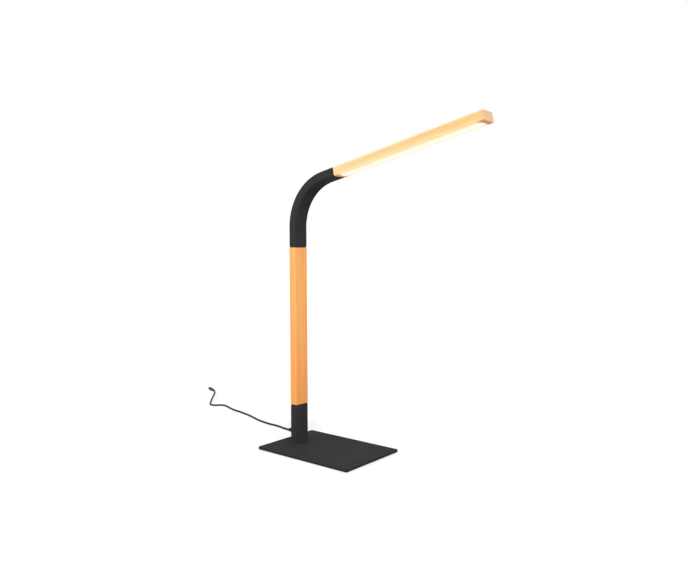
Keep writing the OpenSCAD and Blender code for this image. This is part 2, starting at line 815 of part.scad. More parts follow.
module hank_tie() {
    left = hank_fold_r + hank_step - hank_waist + cord_d / 2 + 2 * moving_gap;
    right = hank_fold_r + hank_step / 2 - hank_waist + cord_d / 2 + 2 * moving_gap;
    width = left + right;
    high = hank_layer * (hank_loops - 0.5) + cord_d + hank_lift + moving_gap;
    color(black_coat) translate([hank_place[0], hank_place[1], 0]) rotate([0, 0, hank_heading])
        translate([hank_run / 2 - tie_width / 2, (left - right) / 2, (high + tie_thickness) / 2])
            rotate([90, 0, 90]) linear_extrude(tie_width) difference() {
                rounded_rect(width + 2 * tie_thickness, high + tie_thickness, tie_corner_r + tie_thickness);
                rounded_rect(width, high - tie_thickness, tie_corner_r);
            }
}

module cord_run() {
    color(black_plastic) swept_tube(run_path, cord_d / 2, 8);
}

module at_plug() {
    translate(plug_start) rotate([0, 90, plug_heading]) children();
}

// Outline of the plug's grip: a tapered boot, then a barrel-shaped grip with rings round it
module plug_profile() {
    grip_r = plug_grip_d / 2;
    difference() {
        union() {
            polygon([[0, 0], [boot_tip_r, 0], [grip_r - grip_edge, plug_boot], [0, plug_boot]]);
            translate([0, plug_boot]) square([grip_r - grip_edge, plug_grip]);
            translate([0, plug_boot + grip_edge]) square([grip_r, plug_grip - 2 * grip_edge]);
            for (z = [grip_edge, plug_grip - grip_edge])
                translate([grip_r - grip_edge, plug_boot + z]) circle(grip_edge);
        }
        for (i = [1:grip_ribs]) {
            z = plug_boot + plug_grip * i / (grip_ribs + 1);
            translate([grip_r - grip_rib_depth, z - grip_rib_width / 2]) square([grip_r, grip_rib_width]);
        }
    }
}

module plug_body() {
    color(black_plastic) at_plug() rotate_extrude() plug_profile();
}

module at_plug_tip() {
    at_plug() translate([0, 0, plug_boot + plug_grip]) children();
}

module plug_barrel() {
    color(bare_steel) at_plug_tip() difference() {
        cylinder(d = barrel_d, h = barrel_length);
        translate([0, 0, -cut]) cylinder(r = sleeve_bore_r, h = barrel_length + 2 * cut);
    }
}

module plug_insulator() {
    color(black_plastic) at_plug_tip() difference() {
        cylinder(r = sleeve_bore_r - glue_gap, h = barrel_length - insulator_recess);
        translate([0, 0, -cut]) cylinder(r = contact_r + glue_gap, h = barrel_length + 2 * cut);
    }
}

module plug_contact() {
    color(bare_steel) at_plug_tip() difference() {
        cylinder(r = contact_r, h = barrel_length - contact_recess);
        translate([0, 0, -cut]) cylinder(r = barrel_bore_r, h = barrel_length + 2 * cut);
    }
}

base_pad();
base_plate();
base_screws();
foot_block();
lower_tube();
lower_joiner();
lower_gasket();
stem();
upper_gasket();
upper_joiner();
elbow_tube();
bar_joiner();
bar_gasket();
light_bar();
led_channel();
channel_screws();
led_board();
led_chips();
end_cap();
diffuser();
inner_lead();
board_carrier();
dimmer_board();
board_terminals();
switch_body();
switch_bezel();
switch_button();
cord_gland();
cord_inner_end();
cord_lead();
cord_hank();
hank_tie();
cord_run();
plug_body();
plug_barrel();
plug_insulator();
plug_contact();
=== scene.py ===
"""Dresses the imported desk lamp: finishes, the loose cord, its strap, the stage and the camera."""
import json
import math

import bpy
from mathutils import Matrix, Vector


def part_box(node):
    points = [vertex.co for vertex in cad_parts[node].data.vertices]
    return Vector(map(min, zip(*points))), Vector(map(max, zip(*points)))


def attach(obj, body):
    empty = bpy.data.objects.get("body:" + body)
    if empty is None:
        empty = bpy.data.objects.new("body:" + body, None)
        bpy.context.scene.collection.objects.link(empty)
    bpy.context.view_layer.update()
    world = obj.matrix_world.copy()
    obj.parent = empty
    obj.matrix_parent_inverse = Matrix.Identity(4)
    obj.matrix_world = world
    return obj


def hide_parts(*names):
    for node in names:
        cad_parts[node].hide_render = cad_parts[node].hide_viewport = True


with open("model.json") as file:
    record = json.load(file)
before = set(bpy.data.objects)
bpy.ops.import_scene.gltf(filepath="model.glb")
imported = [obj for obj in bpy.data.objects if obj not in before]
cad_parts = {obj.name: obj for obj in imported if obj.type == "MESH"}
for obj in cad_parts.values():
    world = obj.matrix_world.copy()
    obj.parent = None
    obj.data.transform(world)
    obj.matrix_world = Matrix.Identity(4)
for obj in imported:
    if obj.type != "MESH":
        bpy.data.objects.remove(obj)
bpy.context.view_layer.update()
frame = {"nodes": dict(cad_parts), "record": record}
nodes = frame["nodes"]
MM = 0.001

# Camera: solved from the lamp's edges in the photograph
PHOTO_WIDTH = 688
FOCAL_PIXELS = 676.51
SENSOR_WIDTH = 36.0
CAMERA_PLACE = Vector((755.22, -868.69, 348.75)) * MM
CAMERA_YAW = math.radians(39.53)
CAMERA_PITCH = math.radians(2.994)
CAMERA_ROLL = math.radians(0.239)

# Cord, in millimetres: its thickness, where it leaves its gland and how it lies, as the solids have it
CORD_DIAMETER = 3.8
CORD_EXIT = (-85.5, 0, 21)
CORD_POINT_SPACING = 2.0
CURVE_STEPS = 12
PLUG_START = (-536.5, 193, 3.75)
PLUG_HEADING = math.radians(160)
LEAD_POINTS = [
    (-89.5, 0, 21), (-94.3, 1.8, 20.8), (-97.6, 6, 20.4), (-99.3, 11.5, 19.9), (-102, 17.3, 19.4),
    (-106, 22.5, 19.1), (-111, 27.8, 19), (-116.3, 33.4, 19),
]
RUN_POINTS = [
    (-137, 53, 1.9), (-147, 53, 1.9), (-159, 54.5, 1.9), (-173, 57.5, 1.9), (-187, 59.5, 1.9),
    (-205, 60, 1.9), (-225, 63, 1.9), (-245, 67.5, 1.9), (-268, 75.5, 1.9), (-292, 83, 1.9),
    (-322, 90, 1.9), (-348, 94, 1.9), (-374, 102, 1.9), (-388, 107, 1.9), (-397.5, 109, 1.9),
    (-406, 107, 1.9), (-411.5, 101, 1.9), (-416.5, 96, 1.9), (-424, 94, 1.9), (-432.5, 98, 1.9),
    (-446, 110, 1.9), (-470, 133, 1.9), (-494, 157.5, 1.9), (-507, 171, 1.9), (-516.5, 180, 2.1),
    (-524.5, 186.3, 2.8), (-529.5, 189.6, 3.4),
]

# Hank: the cord's spare length, folded into stacked loops behind the column
HANK_PLACE = Vector((-116.5, 54, 0))
HANK_HEADING = math.radians(133.4)
HANK_RUN = 72
HANK_FOLD_RADIUS = 11.4
HANK_STEP = 2.2
HANK_LAYER = 4.3
HANK_LOOPS = 4
HANK_WAIST = 3
HANK_LIFT = 1.3
HANK_POINTS_A_LOOP = 64
HANK_QUARTER = 0.25 * HANK_RUN / (HANK_RUN + math.pi * (HANK_FOLD_RADIUS + HANK_STEP / 2))

# Strap round the hank: it starts on top, goes once round and climbs over its own start into the tail
STRAP_WIDTH = 8
STRAP_THICKNESS = 0.9
STRAP_EDGE_RADIUS = 0.3
STRAP_EDGE_STEPS = 3
STRAP_CORNER = 2.5
STRAP_CORNER_STEPS = 8
STRAP_CLEARANCE = 0.6
STRAP_START = 9.5
STRAP_CLIMB_START = 3
STRAP_CLIMB_END = 6
STRAP_LAP_GAP = 0.1
STRAP_TAIL = 15

# Wood: where the stem and the light bar lie, their pale, middle and deep tones and how far these drift
STEM_CENTRE = Vector((-66, 0, 212)) * MM
STEM_HALF_LENGTH = 138.75 * MM
STEM_TONES = ((0.985, 0.479, 0.162), (0.965, 0.422, 0.124), (0.91, 0.356, 0.097))
STEM_DRIFT = 0.11
BAR_ANGLE = math.radians(78)
BAR_CENTRE = Vector((165.2, 0, 504.5)) * MM
BAR_HALF_DEPTH = 8.2 * MM
BAR_HALF_LENGTH = 140 * MM
BAR_TONES = ((0.93, 0.66, 0.36), (0.91, 0.6, 0.295), (0.88, 0.53, 0.235))
BAR_DRIFT = -0.17
PITH = (55 * MM, 83 * MM, 0)
RING_SPACING = 5.5 * MM
RING_WANDER = 12 * MM

# Tints that turn the wood's deep tone into its flecks, end grain and the painted shade of its underside,
# and their shares
FLECK_TINT = (0.8, 0.7, 0.6)
END_GRAIN_DARK_TINT = (0.52, 0.54, 0.76)
END_GRAIN_LIGHT_TINT = (0.72, 0.82, 1.28)
UNDERSIDE_SHADE_TINT = (1.03, 0.81, 0.62)
FLECK_SHARE = 0.45
END_GRAIN_SHARE = 0.75

# Opal strip, and the painted glow on the wood beside it that stands in for the strip's light
STRIP_HALF_WIDTH = 10.9 * MM
STRIP_HALF_LENGTH = 132 * MM
STRIP_MIDDLE_LIGHT = (1.0, 0.82, 0.66)
STRIP_EDGE_LIGHT = (1.0, 0.79, 0.6)
SIDE_LIGHT = (1.0, 0.76, 0.33)
LIP_LIGHT = (1.0, 0.9, 0.64)
STRIP_END_LIGHT = (1.0, 0.45, 0.15)
SIDE_GLOW = 0.11
SIDE_GLOW_FALL = 3
LIP_GLOW = 0.62
LIP_GLOW_FALL = 12
GLOW_PAST_STRIP = 0.2

# Blacks, each as a darker and a lighter tone
TUBE_BLACK = ((0.0285, 0.0287, 0.029), (0.0355, 0.0357, 0.036))
# The plate's black is the tube coat with a warmer tint, which is the plate's own. It is also darker, which
# is painted shade for its top face under the overhead panel
BASE_BLACK_PAINTED_SHADE = ((0.0238, 0.0234, 0.0228), (0.0285, 0.0279, 0.027))
MOULDED_BLACK = ((0.018, 0.018, 0.019), (0.026, 0.026, 0.027))
CORD_BLACK = ((0.009, 0.009, 0.01), (0.013, 0.013, 0.014))
LEAD_BLACK = ((0.02, 0.02, 0.02), (0.03, 0.03, 0.03))
PAD_BLACK = ((0.02, 0.02, 0.021), (0.035, 0.035, 0.036))

# Stage, in metres: the floor lies just under the pad, and is lifted to white from near to far
FLOOR_REACH = 6.0
FLOOR_LEVEL = -0.3 * MM
FLOOR_GREY = 0.33
FLOOR_NEAR_AND_FAR = (0.4, 2.0)
FLOOR_LIFT = (0.67, 0.9)
ROUND_LIGHT = 0.55


def add_object(name, data):
    """A new object in the scene."""
    made = bpy.data.objects.new(name, data)
    bpy.context.scene.collection.objects.link(made)
    return made


def make_camera():
    """The photograph's own view."""
    cos, sin = math.cos, math.sin
    right = Vector((cos(CAMERA_YAW), sin(CAMERA_YAW), 0))
    ahead = Vector((
        -sin(CAMERA_YAW) * cos(CAMERA_PITCH), cos(CAMERA_YAW) * cos(CAMERA_PITCH), -sin(CAMERA_PITCH)
    ))
    down = ahead.cross(right)
    rolled_right = right * cos(CAMERA_ROLL) + down * sin(CAMERA_ROLL)
    rolled_down = down * cos(CAMERA_ROLL) - right * sin(CAMERA_ROLL)
    turn = Matrix((rolled_right, -rolled_down, -ahead)).transposed()
    lens = bpy.data.cameras.new("photo_camera")
    lens.sensor_width = SENSOR_WIDTH
    lens.lens = FOCAL_PIXELS * SENSOR_WIDTH / PHOTO_WIDTH
    camera = add_object("photo_camera", lens)
    camera.matrix_world = Matrix.Translation(CAMERA_PLACE) @ turn.to_4x4()
    bpy.context.scene.camera = camera


# Material helpers

def set_inputs(node, values):
    """Sets a node's own inputs, by name."""
    for key, value in values.items():
        node.inputs[key].default_value = value


def feed(tree, node, sources):
    """Links a node's inputs, by name, to the sockets that drive them."""
    for key, source in sources.items():
        tree.links.new(source, node.inputs[key])


def add_node(tree, kind, values=None, **settings):
    """A new node with its settings, and with the inputs that don't change."""
    made = tree.nodes.new(kind)
    for key, value in settings.items():
        setattr(made, key, value)
    set_inputs(made, values or {})
    return made


def new_material(name, fixed=None):
    """A material, with what is the same all over set on its shader's own sockets."""
    material = bpy.data.materials.new(name)
    material.use_nodes = True
    tree = material.node_tree
    shader = tree.nodes["Principled BSDF"]
    set_inputs(shader, fixed or {})
    return material, tree, shader


def object_coordinates(tree, rotation=(0, 0, 0), centre=(0, 0, 0)):
    """Object coordinates, moved to a piece's centre and turned."""
    place = add_node(tree, "ShaderNodeTexCoord")
    mapping = add_node(
        tree, "ShaderNodeMapping", {"Location": centre, "Rotation": rotation}, vector_type="TEXTURE"
    )
    feed(tree, mapping, {"Vector": place.outputs["Object"]})
    return mapping.outputs["Vector"]


def stretch(tree, vector, scale):
    """Coordinates scaled along each axis, so that a pattern on them is drawn out."""
    mapping = add_node(tree, "ShaderNodeMapping", {"Scale": scale})
    feed(tree, mapping, {"Vector": vector})
    return mapping.outputs["Vector"]


def noise(tree, vector, scale, detail=2.0, roughness=0.5):
    """Soft noise about 0.5, its scale in features to the metre."""
    made = add_node(
        tree, "ShaderNodeTexNoise", {"Scale": scale, "Detail": detail, "Roughness": roughness}
    )
    feed(tree, made, {"Vector": vector})
    return made.outputs["Fac"]


def spread(tree, value, span, out_span):
    """Maps a value from one span to another, and holds it there."""
    limits = {"From Min": span[0], "From Max": span[1], "To Min": out_span[0], "To Max": out_span[1]}
    made = add_node(tree, "ShaderNodeMapRange", limits, clamp=True)
    feed(tree, made, {"Value": value})
    return made.outputs["Result"]


def maths(tree, operation, *terms):
    """One step of arithmetic on numbers and sockets."""
    made = add_node(tree, "ShaderNodeMath", operation=operation)
    for socket, term in zip(made.inputs, terms):
        if isinstance(term, (int, float)):
            socket.default_value = term
        else:
            tree.links.new(term, socket)
    return made.outputs["Value"]


def weighted(tree, *parts):
    """The sum of several values, each times its weight."""
    total = None
    for value, weight in parts:
        part = value if weight == 1 else maths(tree, "MULTIPLY", value, weight)
        total = part if total is None else maths(tree, "ADD", total, part)
    return total


def ramp(tree, value, stops):
    """A colour ramp through (place, colour) stops."""
    made = add_node(tree, "ShaderNodeValToRGB")
    elements = made.color_ramp.elements
    while len(elements) < len(stops):
        elements.new(1.0)
    for element, (place, colour) in zip(elements, stops):
        element.position = place
        element.color = (*colour, 1)
    feed(tree, made, {"Fac": value})
    return made.outputs["Color"]


def two_tone(tree, value, dark, light):
    """Two tones, shared out by a noise."""
    return ramp(tree, value, [(0.3, dark), (0.7, light)])


def tinted(colour, tint):
    """A colour times a tint, channel by channel."""
    return tuple(channel * share for channel, share in zip(colour, tint))


def blend_colour(tree, share, first, second):
    """From the first colour to the second, which are sockets or plain colours, as the share grows."""
    made = add_node(tree, "ShaderNodeMix", data_type="RGBA")
    tree.links.new(share, made.inputs[0])
    for socket, colour in ((made.inputs[6], first), (made.inputs[7], second)):
        if isinstance(colour, tuple):
            socket.default_value = (*colour, 1)
        else:
            tree.links.new(colour, socket)
    return made.outputs[2]


def separated(tree, vector):
    """The three parts of a vector."""
    made = add_node(tree, "ShaderNodeSeparateXYZ")
    feed(tree, made, {"Vector": vector})
    return made.outputs["X"], made.outputs["Y"], made.outputs["Z"]


def bump(tree, shader, height, strength, distance):
    """Fine relief in a finish."""
    made = add_node(tree, "ShaderNodeBump", {"Strength": strength, "Distance": distance})
    feed(tree, made, {"Height": height})
    feed(tree, shader, {"Normal": made.outputs["Normal"]})


# Finishes

def powder_coat(name, dark, light):
    """Fine matt black powder coat: a dimpled skin with a trace of cloudiness."""
    material, tree, shader = new_material(name, {"Specular IOR Level": 0.06})
    place = object_coordinates(tree)
    dimples = noise(tree, place, 900, detail=3, roughness=0.55)
    grit = noise(tree, place, 3200)
    cloud = noise(tree, place, 22, detail=3, roughness=0.6)
    feed(tree, shader, {
        "Base Color": two_tone(tree, cloud, dark, light),
        "Roughness": spread(tree, grit, (0.25, 0.75), (0.74, 0.86)),
    })
    height = weighted(tree, (dimples, 1), (grit, 0.5))
    bump(tree, shader, height, strength=0.35, distance=0.12 * MM)
    return material


def growth_rings(tree, along):
    """Growth rings round a pith that lies beside the bar, from 0 to 1."""
    wander = noise(tree, stretch(tree, along, (1, 1, 0.1)), 26, detail=3, roughness=0.55)
    from_pith = add_node(tree, "ShaderNodeVectorMath", operation="DISTANCE")
    from_pith.inputs[1].default_value = PITH
    tree.links.new(stretch(tree, along, (1, 1, 0)), from_pith.inputs[0])
    ring_place = weighted(tree, (from_pith.outputs["Value"], 1), (wander, RING_WANDER))
    rings = maths(tree, "SINE", maths(tree, "MULTIPLY", ring_place, 2 * math.pi / RING_SPACING))
    return spread(tree, rings, (-1, 1), (0, 1))


def beech(name, centre, lean, half_length, tones, drift, specular):
    """Oiled beech with its grain along a bar: soft bands, fibres and short dark ray flecks.

    The tone drifts along the bar: to paler at its end if drift is above 0, and to deeper if it is below.
    """
    pale, middle, deep = tones
    material, tree, shader = new_material(name, {"Specular IOR Level": specular})
    along = object_coordinates(tree, rotation=(0, lean, 0), centre=centre)
    _, _, length = separated(tree, along)
    rings = growth_rings(tree, along)
    fibres = noise(tree, stretch(tree, along, (1, 1, 0.012)), 850, detail=3, roughness=0.6)
    bands = noise(tree, stretch(tree, along, (1, 1, 0.045)), 150, detail=3, roughness=0.55)
    flecks = noise(tree, stretch(tree, along, (1, 1, 0.2)), 1500, detail=1, roughness=0.4)
    streaks = spread(tree, fibres, (0.36, 0.64), (0, 1))
    drifted = spread(tree, length, (-half_length, half_length), (-drift, drift))
    tone = weighted(tree, (rings, 0.16), (streaks, 0.26), (bands, 0.74), (drifted, 1))
    grain = ramp(tree, tone, [(0.38, deep), (0.58, middle), (0.78, pale)])
    fleck_share = spread(tree, flecks, (0.6, 0.7), (0, FLECK_SHARE))
    feed(tree, shader, {
        "Base Color": blend_colour(tree, fleck_share, grain, tinted(deep, FLECK_TINT)),
        "Roughness": spread(tree, fibres, (0.25, 0.75), (0.54, 0.66)),
    })
    height = weighted(tree, (fibres, 1), (fleck_share, -0.8))
    bump(tree, shader, height, strength=0.1, distance=0.15 * MM)
    return material


def lit_beech():
    """The light bar's beech: ringed end grain at its tip, and a painted glow on its sides and lips that
    stands in for the strip's light.

    Past the strip's ends the underside is tinted deeper: painted shade where the strip's light does not
    reach.
    """
    material = beech(
        "bar_beech", BAR_CENTRE, lean=BAR_ANGLE, half_length=BAR_HALF_LENGTH, tones=BAR_TONES,
        drift=BAR_DRIFT, specular=0.05,
    )
    deep = BAR_TONES[-1]
    tree = material.node_tree
    shader = tree.nodes["Principled BSDF"]
    along = object_coordinates(tree, rotation=(0, BAR_ANGLE, 0), centre=BAR_CENTRE)
    depth, _, length = separated(tree, along)

    grain = shader.inputs["Base Color"].links[0].from_socket
    pores = spread(tree, noise(tree, along, 1100, roughness=0.6), (0.35, 0.65), (0, 1))
    end_tone = weighted(tree, (growth_rings(tree, along), 0.5), (pores, 0.5))
    end_grain = ramp(tree, end_tone, [
        (0.1, tinted(deep, END_GRAIN_DARK_TINT)), (0.9, tinted(deep, END_GRAIN_LIGHT_TINT)),
    ])
    tip = (BAR_HALF_LENGTH - 2 * MM, BAR_HALF_LENGTH - 0.5 * MM)
    colour = blend_colour(tree, spread(tree, length, tip, (0, END_GRAIN_SHARE)), grain, end_grain)

    lowness = spread(tree, depth, (-BAR_HALF_DEPTH, BAR_HALF_DEPTH), (0, 1))
    strip_end = (STRIP_HALF_LENGTH - 8 * MM, STRIP_HALF_LENGTH + 3 * MM)
    along_strip = spread(tree, maths(tree, "ABSOLUTE", length), strip_end, (1, GLOW_PAST_STRIP))
    # Painted shade: past the strip's ends the underside is tinted deeper, where the strip's light does not
    # reach
    underside = spread(tree, lowness, (0.93, 0.99), (0, 1))
    painted_underside_shade = maths(tree, "MULTIPLY", underside, maths(tree, "SUBTRACT", 1.0, along_strip))
    colour = blend_colour(tree, painted_underside_shade, colour, tinted(deep, UNDERSIDE_SHADE_TINT))

    # Painted glow: emission in the wood stands in for the strip's light. It is strongest on the lips
    # beside the strip and fainter up the sides, and past the strip's ends it falls to a faint warm glow
    on_side = maths(tree, "POWER", lowness, SIDE_GLOW_FALL)
    on_lip = maths(tree, "POWER", lowness, LIP_GLOW_FALL)
    painted_glow = weighted(tree, (on_side, SIDE_GLOW), (on_lip, LIP_GLOW))
    light = ramp(tree, lowness, [(0.8, SIDE_LIGHT), (1.0, LIP_LIGHT)])
    feed(tree, shader, {
        "Base Color": colour,
        "Emission Strength": maths(tree, "MULTIPLY", painted_glow, along_strip),
        "Emission Color": blend_colour(tree, along_strip, STRIP_END_LIGHT, light),
    })
    material.cycles.emission_sampling = "NONE"
    return material


def opal():
    """Opal diffuser, lit from behind: brightest and whitest along its middle."""
    material, tree, shader = new_material("opal_strip")
    along = object_coordinates(tree, rotation=(0, BAR_ANGLE, 0), centre=BAR_CENTRE)
    _, across, _ = separated(tree, along)
    frost = noise(tree, along, 2600)
    off_middle = (0.3 * STRIP_HALF_WIDTH, STRIP_HALF_WIDTH)
    edge = spread(tree, maths(tree, "ABSOLUTE", across), off_middle, (0, 1))
    feed(tree, shader, {
        "Base Color": two_tone(tree, noise(tree, along, 40), (0.93, 0.92, 0.87), (0.96, 0.95, 0.9)),
        "Roughness": spread(tree, frost, (0.3, 0.7), (0.45, 0.6)),
        "Emission Color": ramp(tree, edge, [(0.0, STRIP_MIDDLE_LIGHT), (1.0, STRIP_EDGE_LIGHT)]),
        "Emission Strength": spread(tree, edge, (0, 1), (0.7, 0.56)),
    })
    bump(tree, shader, frost, strength=0.08, distance=0.05 * MM)
    material.cycles.emission_sampling = "NONE"
    return material


def moulded(name, dark, light, rough=(0.4, 0.52), specular=0.4, grain=1500, relief=0.12):
    """Moulded plastic or rubber with a fine sparked grain."""
    material, tree, shader = new_material(name, {"Specular IOR Level": specular})
    place = object_coordinates(tree)
    fine = noise(tree, place, grain)
    feed(tree, shader, {
        "Base Color": two_tone(tree, noise(tree, place, 120), dark, light),
        "Roughness": spread(tree, fine, (0.3, 0.7), rough),
    })
    bump(tree, shader, fine, strength=relief, distance=0.1 * MM)
    return material


def bare_metal(name, dark, light, rough, drawn=(1, 1, 1)):
    """Bare or plated metal with fine marks, drawn out along one axis where it is brushed."""
    material, tree, shader = new_material(name, {"Metallic": 1.0})
    marks = noise(tree, stretch(tree, object_coordinates(tree), drawn), 1400, detail=3, roughness=0.6)
    feed(tree, shader, {
        "Base Color": two_tone(tree, marks, dark, light),
        "Roughness": spread(tree, marks, (0.3, 0.7), rough),
    })
    bump(tree, shader, marks, strength=0.06, distance=0.05 * MM)
    return material


def light_chip():
    """Phosphor dome of a light chip."""
    material, tree, shader = new_material("chip_phosphor", {
        "Roughness": 0.35, "Emission Color": (1.0, 0.94, 0.78, 1), "Emission Strength": 2.0,
    })
    speck = noise(tree, object_coordinates(tree), 4000)
    feed(tree, shader, {"Base Color": two_tone(tree, speck, (0.85, 0.66, 0.16), (0.95, 0.8, 0.28))})
    material.cycles.emission_sampling = "NONE"
    return material


def strap_weave():
    """Woven strap: crossed threads with a fuzzy edge to the shine."""
    material, tree, shader = new_material("strap_weave", {
        "Roughness": 0.85, "Sheen Weight": 0.25, "Specular IOR Level": 0.2,
    })
    place = object_coordinates(tree, rotation=(0, 0, HANK_HEADING), centre=HANK_PLACE * MM)
    threads = []
    for direction in ("X", "Z"):
        wave = add_node(
            tree, "ShaderNodeTexWave", {"Scale": 260, "Distortion": 0.4}, bands_direction=direction
        )
        feed(tree, wave, {"Vector": place})
        threads.append(wave.outputs["Fac"])
    weave = maths(tree, "MAXIMUM", *threads)
    fuzz = noise(tree, place, 2400, roughness=0.6)
    colour = ramp(tree, weave, [(0.2, (0.012, 0.012, 0.013)), (0.9, (0.034, 0.034, 0.036))])
    feed(tree, shader, {"Base Color": colour})
    bump(tree, shader, weighted(tree, (weave, 1), (fuzz, 0.6)), strength=0.6, distance=0.2 * MM)
    return material


# Cord

def eased(x):
    """From 0 to 1, slow at both ends."""
    x = max(0.0, min(1.0, x))
    return x * x * (3 - 2 * x)


def hank_half_width(t):
    """Half the loop's width: the cord winds in during one loop and out during the next."""
    zigzag = 1 - abs(1 - ((t - 1) % 2))
    return HANK_FOLD_RADIUS + HANK_STEP * (1 - t if t < 1 else zigzag)


def hank_level(t):
    """How many layers up the cord lies, stepping down along one run of each loop."""
    drops = [eased((t - k + HANK_QUARTER) / (2 * HANK_QUARTER)) for k in range(HANK_LOOPS)]
    return HANK_LOOPS - sum(drops)


def hank_flat(q, w):
    """The place in one loop, q being the share of the loop that is done and w its half width."""
    run_share = 2 * HANK_QUARTER
    fold_share = 0.5 - run_share
    if q < run_share:
        return HANK_RUN * q / run_share, w
    if q < 0.5:
        s = math.pi * (q - run_share) / fold_share
        return HANK_RUN + w * math.sin(s), w * math.cos(s)
    if q < 0.5 + run_share:
        return HANK_RUN * (1 - (q - 0.5) / run_share), -w
    s = math.pi * (q - 0.5 - run_share) / fold_share
    return -w * math.sin(s), -w * math.cos(s)


def hank_point(t):
    """One point of the hank in its own frame: x along the runs, y to the left, t counting loops."""
    turned = t + HANK_QUARTER
    x, y = hank_flat(turned - math.floor(turned + 1e-9), hank_half_width(t))
    waist = math.sin(math.pi * max(0.0, min(1.0, x / HANK_RUN))) ** 2
    side = 1 if y > 0 else -1
    z = CORD_DIAMETER / 2 + HANK_LAYER * hank_level(t) + waist * HANK_LIFT
    return Vector((x, y - side * waist * HANK_WAIST, z))


def hank_to_lamp(p):
    """A point of the hank's own frame, in the lamp's."""
    return HANK_PLACE + Matrix.Rotation(HANK_HEADING, 3, "Z") @ p


def smooth_through(points, spacing):
    """Points a set distance apart on a smooth curve through the given ones."""
    dense = []
    for i in range(len(points) - 1):
        p1, p2 = points[i], points[i + 1]
        p0 = points[i - 1] if i else 2 * p1 - p2
        p3 = points[i + 2] if i + 2 < len(points) else 2 * p2 - p1
        gaps = [max(1e-6, (b - a).length) ** 0.5 for a, b in ((p0, p1), (p1, p2), (p2, p3))]
        m1 = ((p1 - p0) / gaps[0] - (p2 - p0) / (gaps[0] + gaps[1]) + (p2 - p1) / gaps[1]) * gaps[1]
        m2 = ((p2 - p1) / gaps[1] - (p3 - p1) / (gaps[1] + gaps[2]) + (p3 - p2) / gaps[2]) * gaps[1]
        for k in range(CURVE_STEPS):
            u = k / CURVE_STEPS
            h = (2 * u**3 - 3 * u**2 + 1, u**3 - 2 * u**2 + u, -2 * u**3 + 3 * u**2, u**3 - u**2)
            dense.append(p1 * h[0] + m1 * h[1] + p2 * h[2] + m2 * h[3])
    dense.append(points[-1].copy())
    total = sum((b - a).length for a, b in zip(dense, dense[1:]))
    count = max(2, round(total / spacing))
    even, walked, k = [dense[0]], 0.0, 0
    for i in range(1, count):
        target = total * i / count
        while walked + (dense[k + 1] - dense[k]).length < target:
            walked += (dense[k + 1] - dense[k]).length
            k += 1
        step = dense[k + 1] - dense[k]
        even.append(dense[k] + step * ((target - walked) / step.length))
    even.append(dense[-1])
    return even


def cord_route():
    """The whole cord, from its gland through the hank to its plug, in millimetres."""
    stub = Vector((CORD_DIAMETER, 0, 0))
    turns = [i / HANK_POINTS_A_LOOP - HANK_QUARTER for i in range(HANK_LOOPS * HANK_POINTS_A_LOOP + 1)]
    loops = [hank_point(t) for t in turns]
    loops = [loops[0] - 2 * stub, loops[0] - stub, *loops, loops[-1] + stub, loops[-1] + 2 * stub]
    plug = Vector(PLUG_START)
    plug_way = Vector((math.cos(PLUG_HEADING), math.sin(PLUG_HEADING), 0))
    points = [Vector(CORD_EXIT), *map(Vector, LEAD_POINTS), *map(hank_to_lamp, loops)]
    points += [*map(Vector, RUN_POINTS), plug - CORD_DIAMETER * plug_way, plug]
    return smooth_through(points, CORD_POINT_SPACING)


def make_cord(material):
    """The loose cord, one round tube from end to end."""
    line = bpy.data.curves.new("cord", "CURVE")
    line.dimensions = "3D"
    line.bevel_depth = CORD_DIAMETER / 2 * MM
    line.bevel_resolution = 4
    line.use_fill_caps = True
    line.materials.append(material)
    route = cord_route()
    spline = line.splines.new("POLY")
    spline.points.add(len(route) - 1)
    for point, place in zip(spline.points, route):
        point.co = (*(place * MM), 1)
    spline.use_smooth = True
    cord = add_object("cord", line)
    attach(cord, "lamp")
    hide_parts("cord_lead", "cord_hank", "cord_run")
    return cord


def strap_line():
    """The strap's middle line, with a tail that laps over the top, in the hank's own frame."""
    _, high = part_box("hank_tie")
    half = STRAP_THICKNESS / 2
    beside_cord = CORD_DIAMETER / 2 + STRAP_CLEARANCE
    y0 = -(HANK_FOLD_RADIUS + HANK_STEP / 2 - HANK_WAIST + beside_cord) - half
    y1 = HANK_FOLD_RADIUS + HANK_STEP - HANK_WAIST + beside_cord + half
    z0, z1 = half, high.z / MM - half
    r = STRAP_CORNER + half
    points = [(y1 - STRAP_START, z1)]
    corners = [(y0 + r, z1 - r, 90), (y0 + r, z0 + r, 180), (y1 - r, z0 + r, 270), (y1 - r, z1 - r, 0)]
    for y, z, start in corners:
        for k in range(STRAP_CORNER_STEPS + 1):
            a = math.radians(start + 90 * k / STRAP_CORNER_STEPS)
            points.append((y + r * math.cos(a), z + r * math.sin(a)))
    lapped = z1 + STRAP_THICKNESS + STRAP_LAP_GAP
    points.append((y1 - r - STRAP_CLIMB_START, z1))
    points.append((y1 - r - STRAP_CLIMB_END, lapped))
    points.append((y1 - r - STRAP_CLIMB_END - STRAP_TAIL, lapped))
    return [Vector((HANK_RUN / 2, y, z)) for y, z in points]


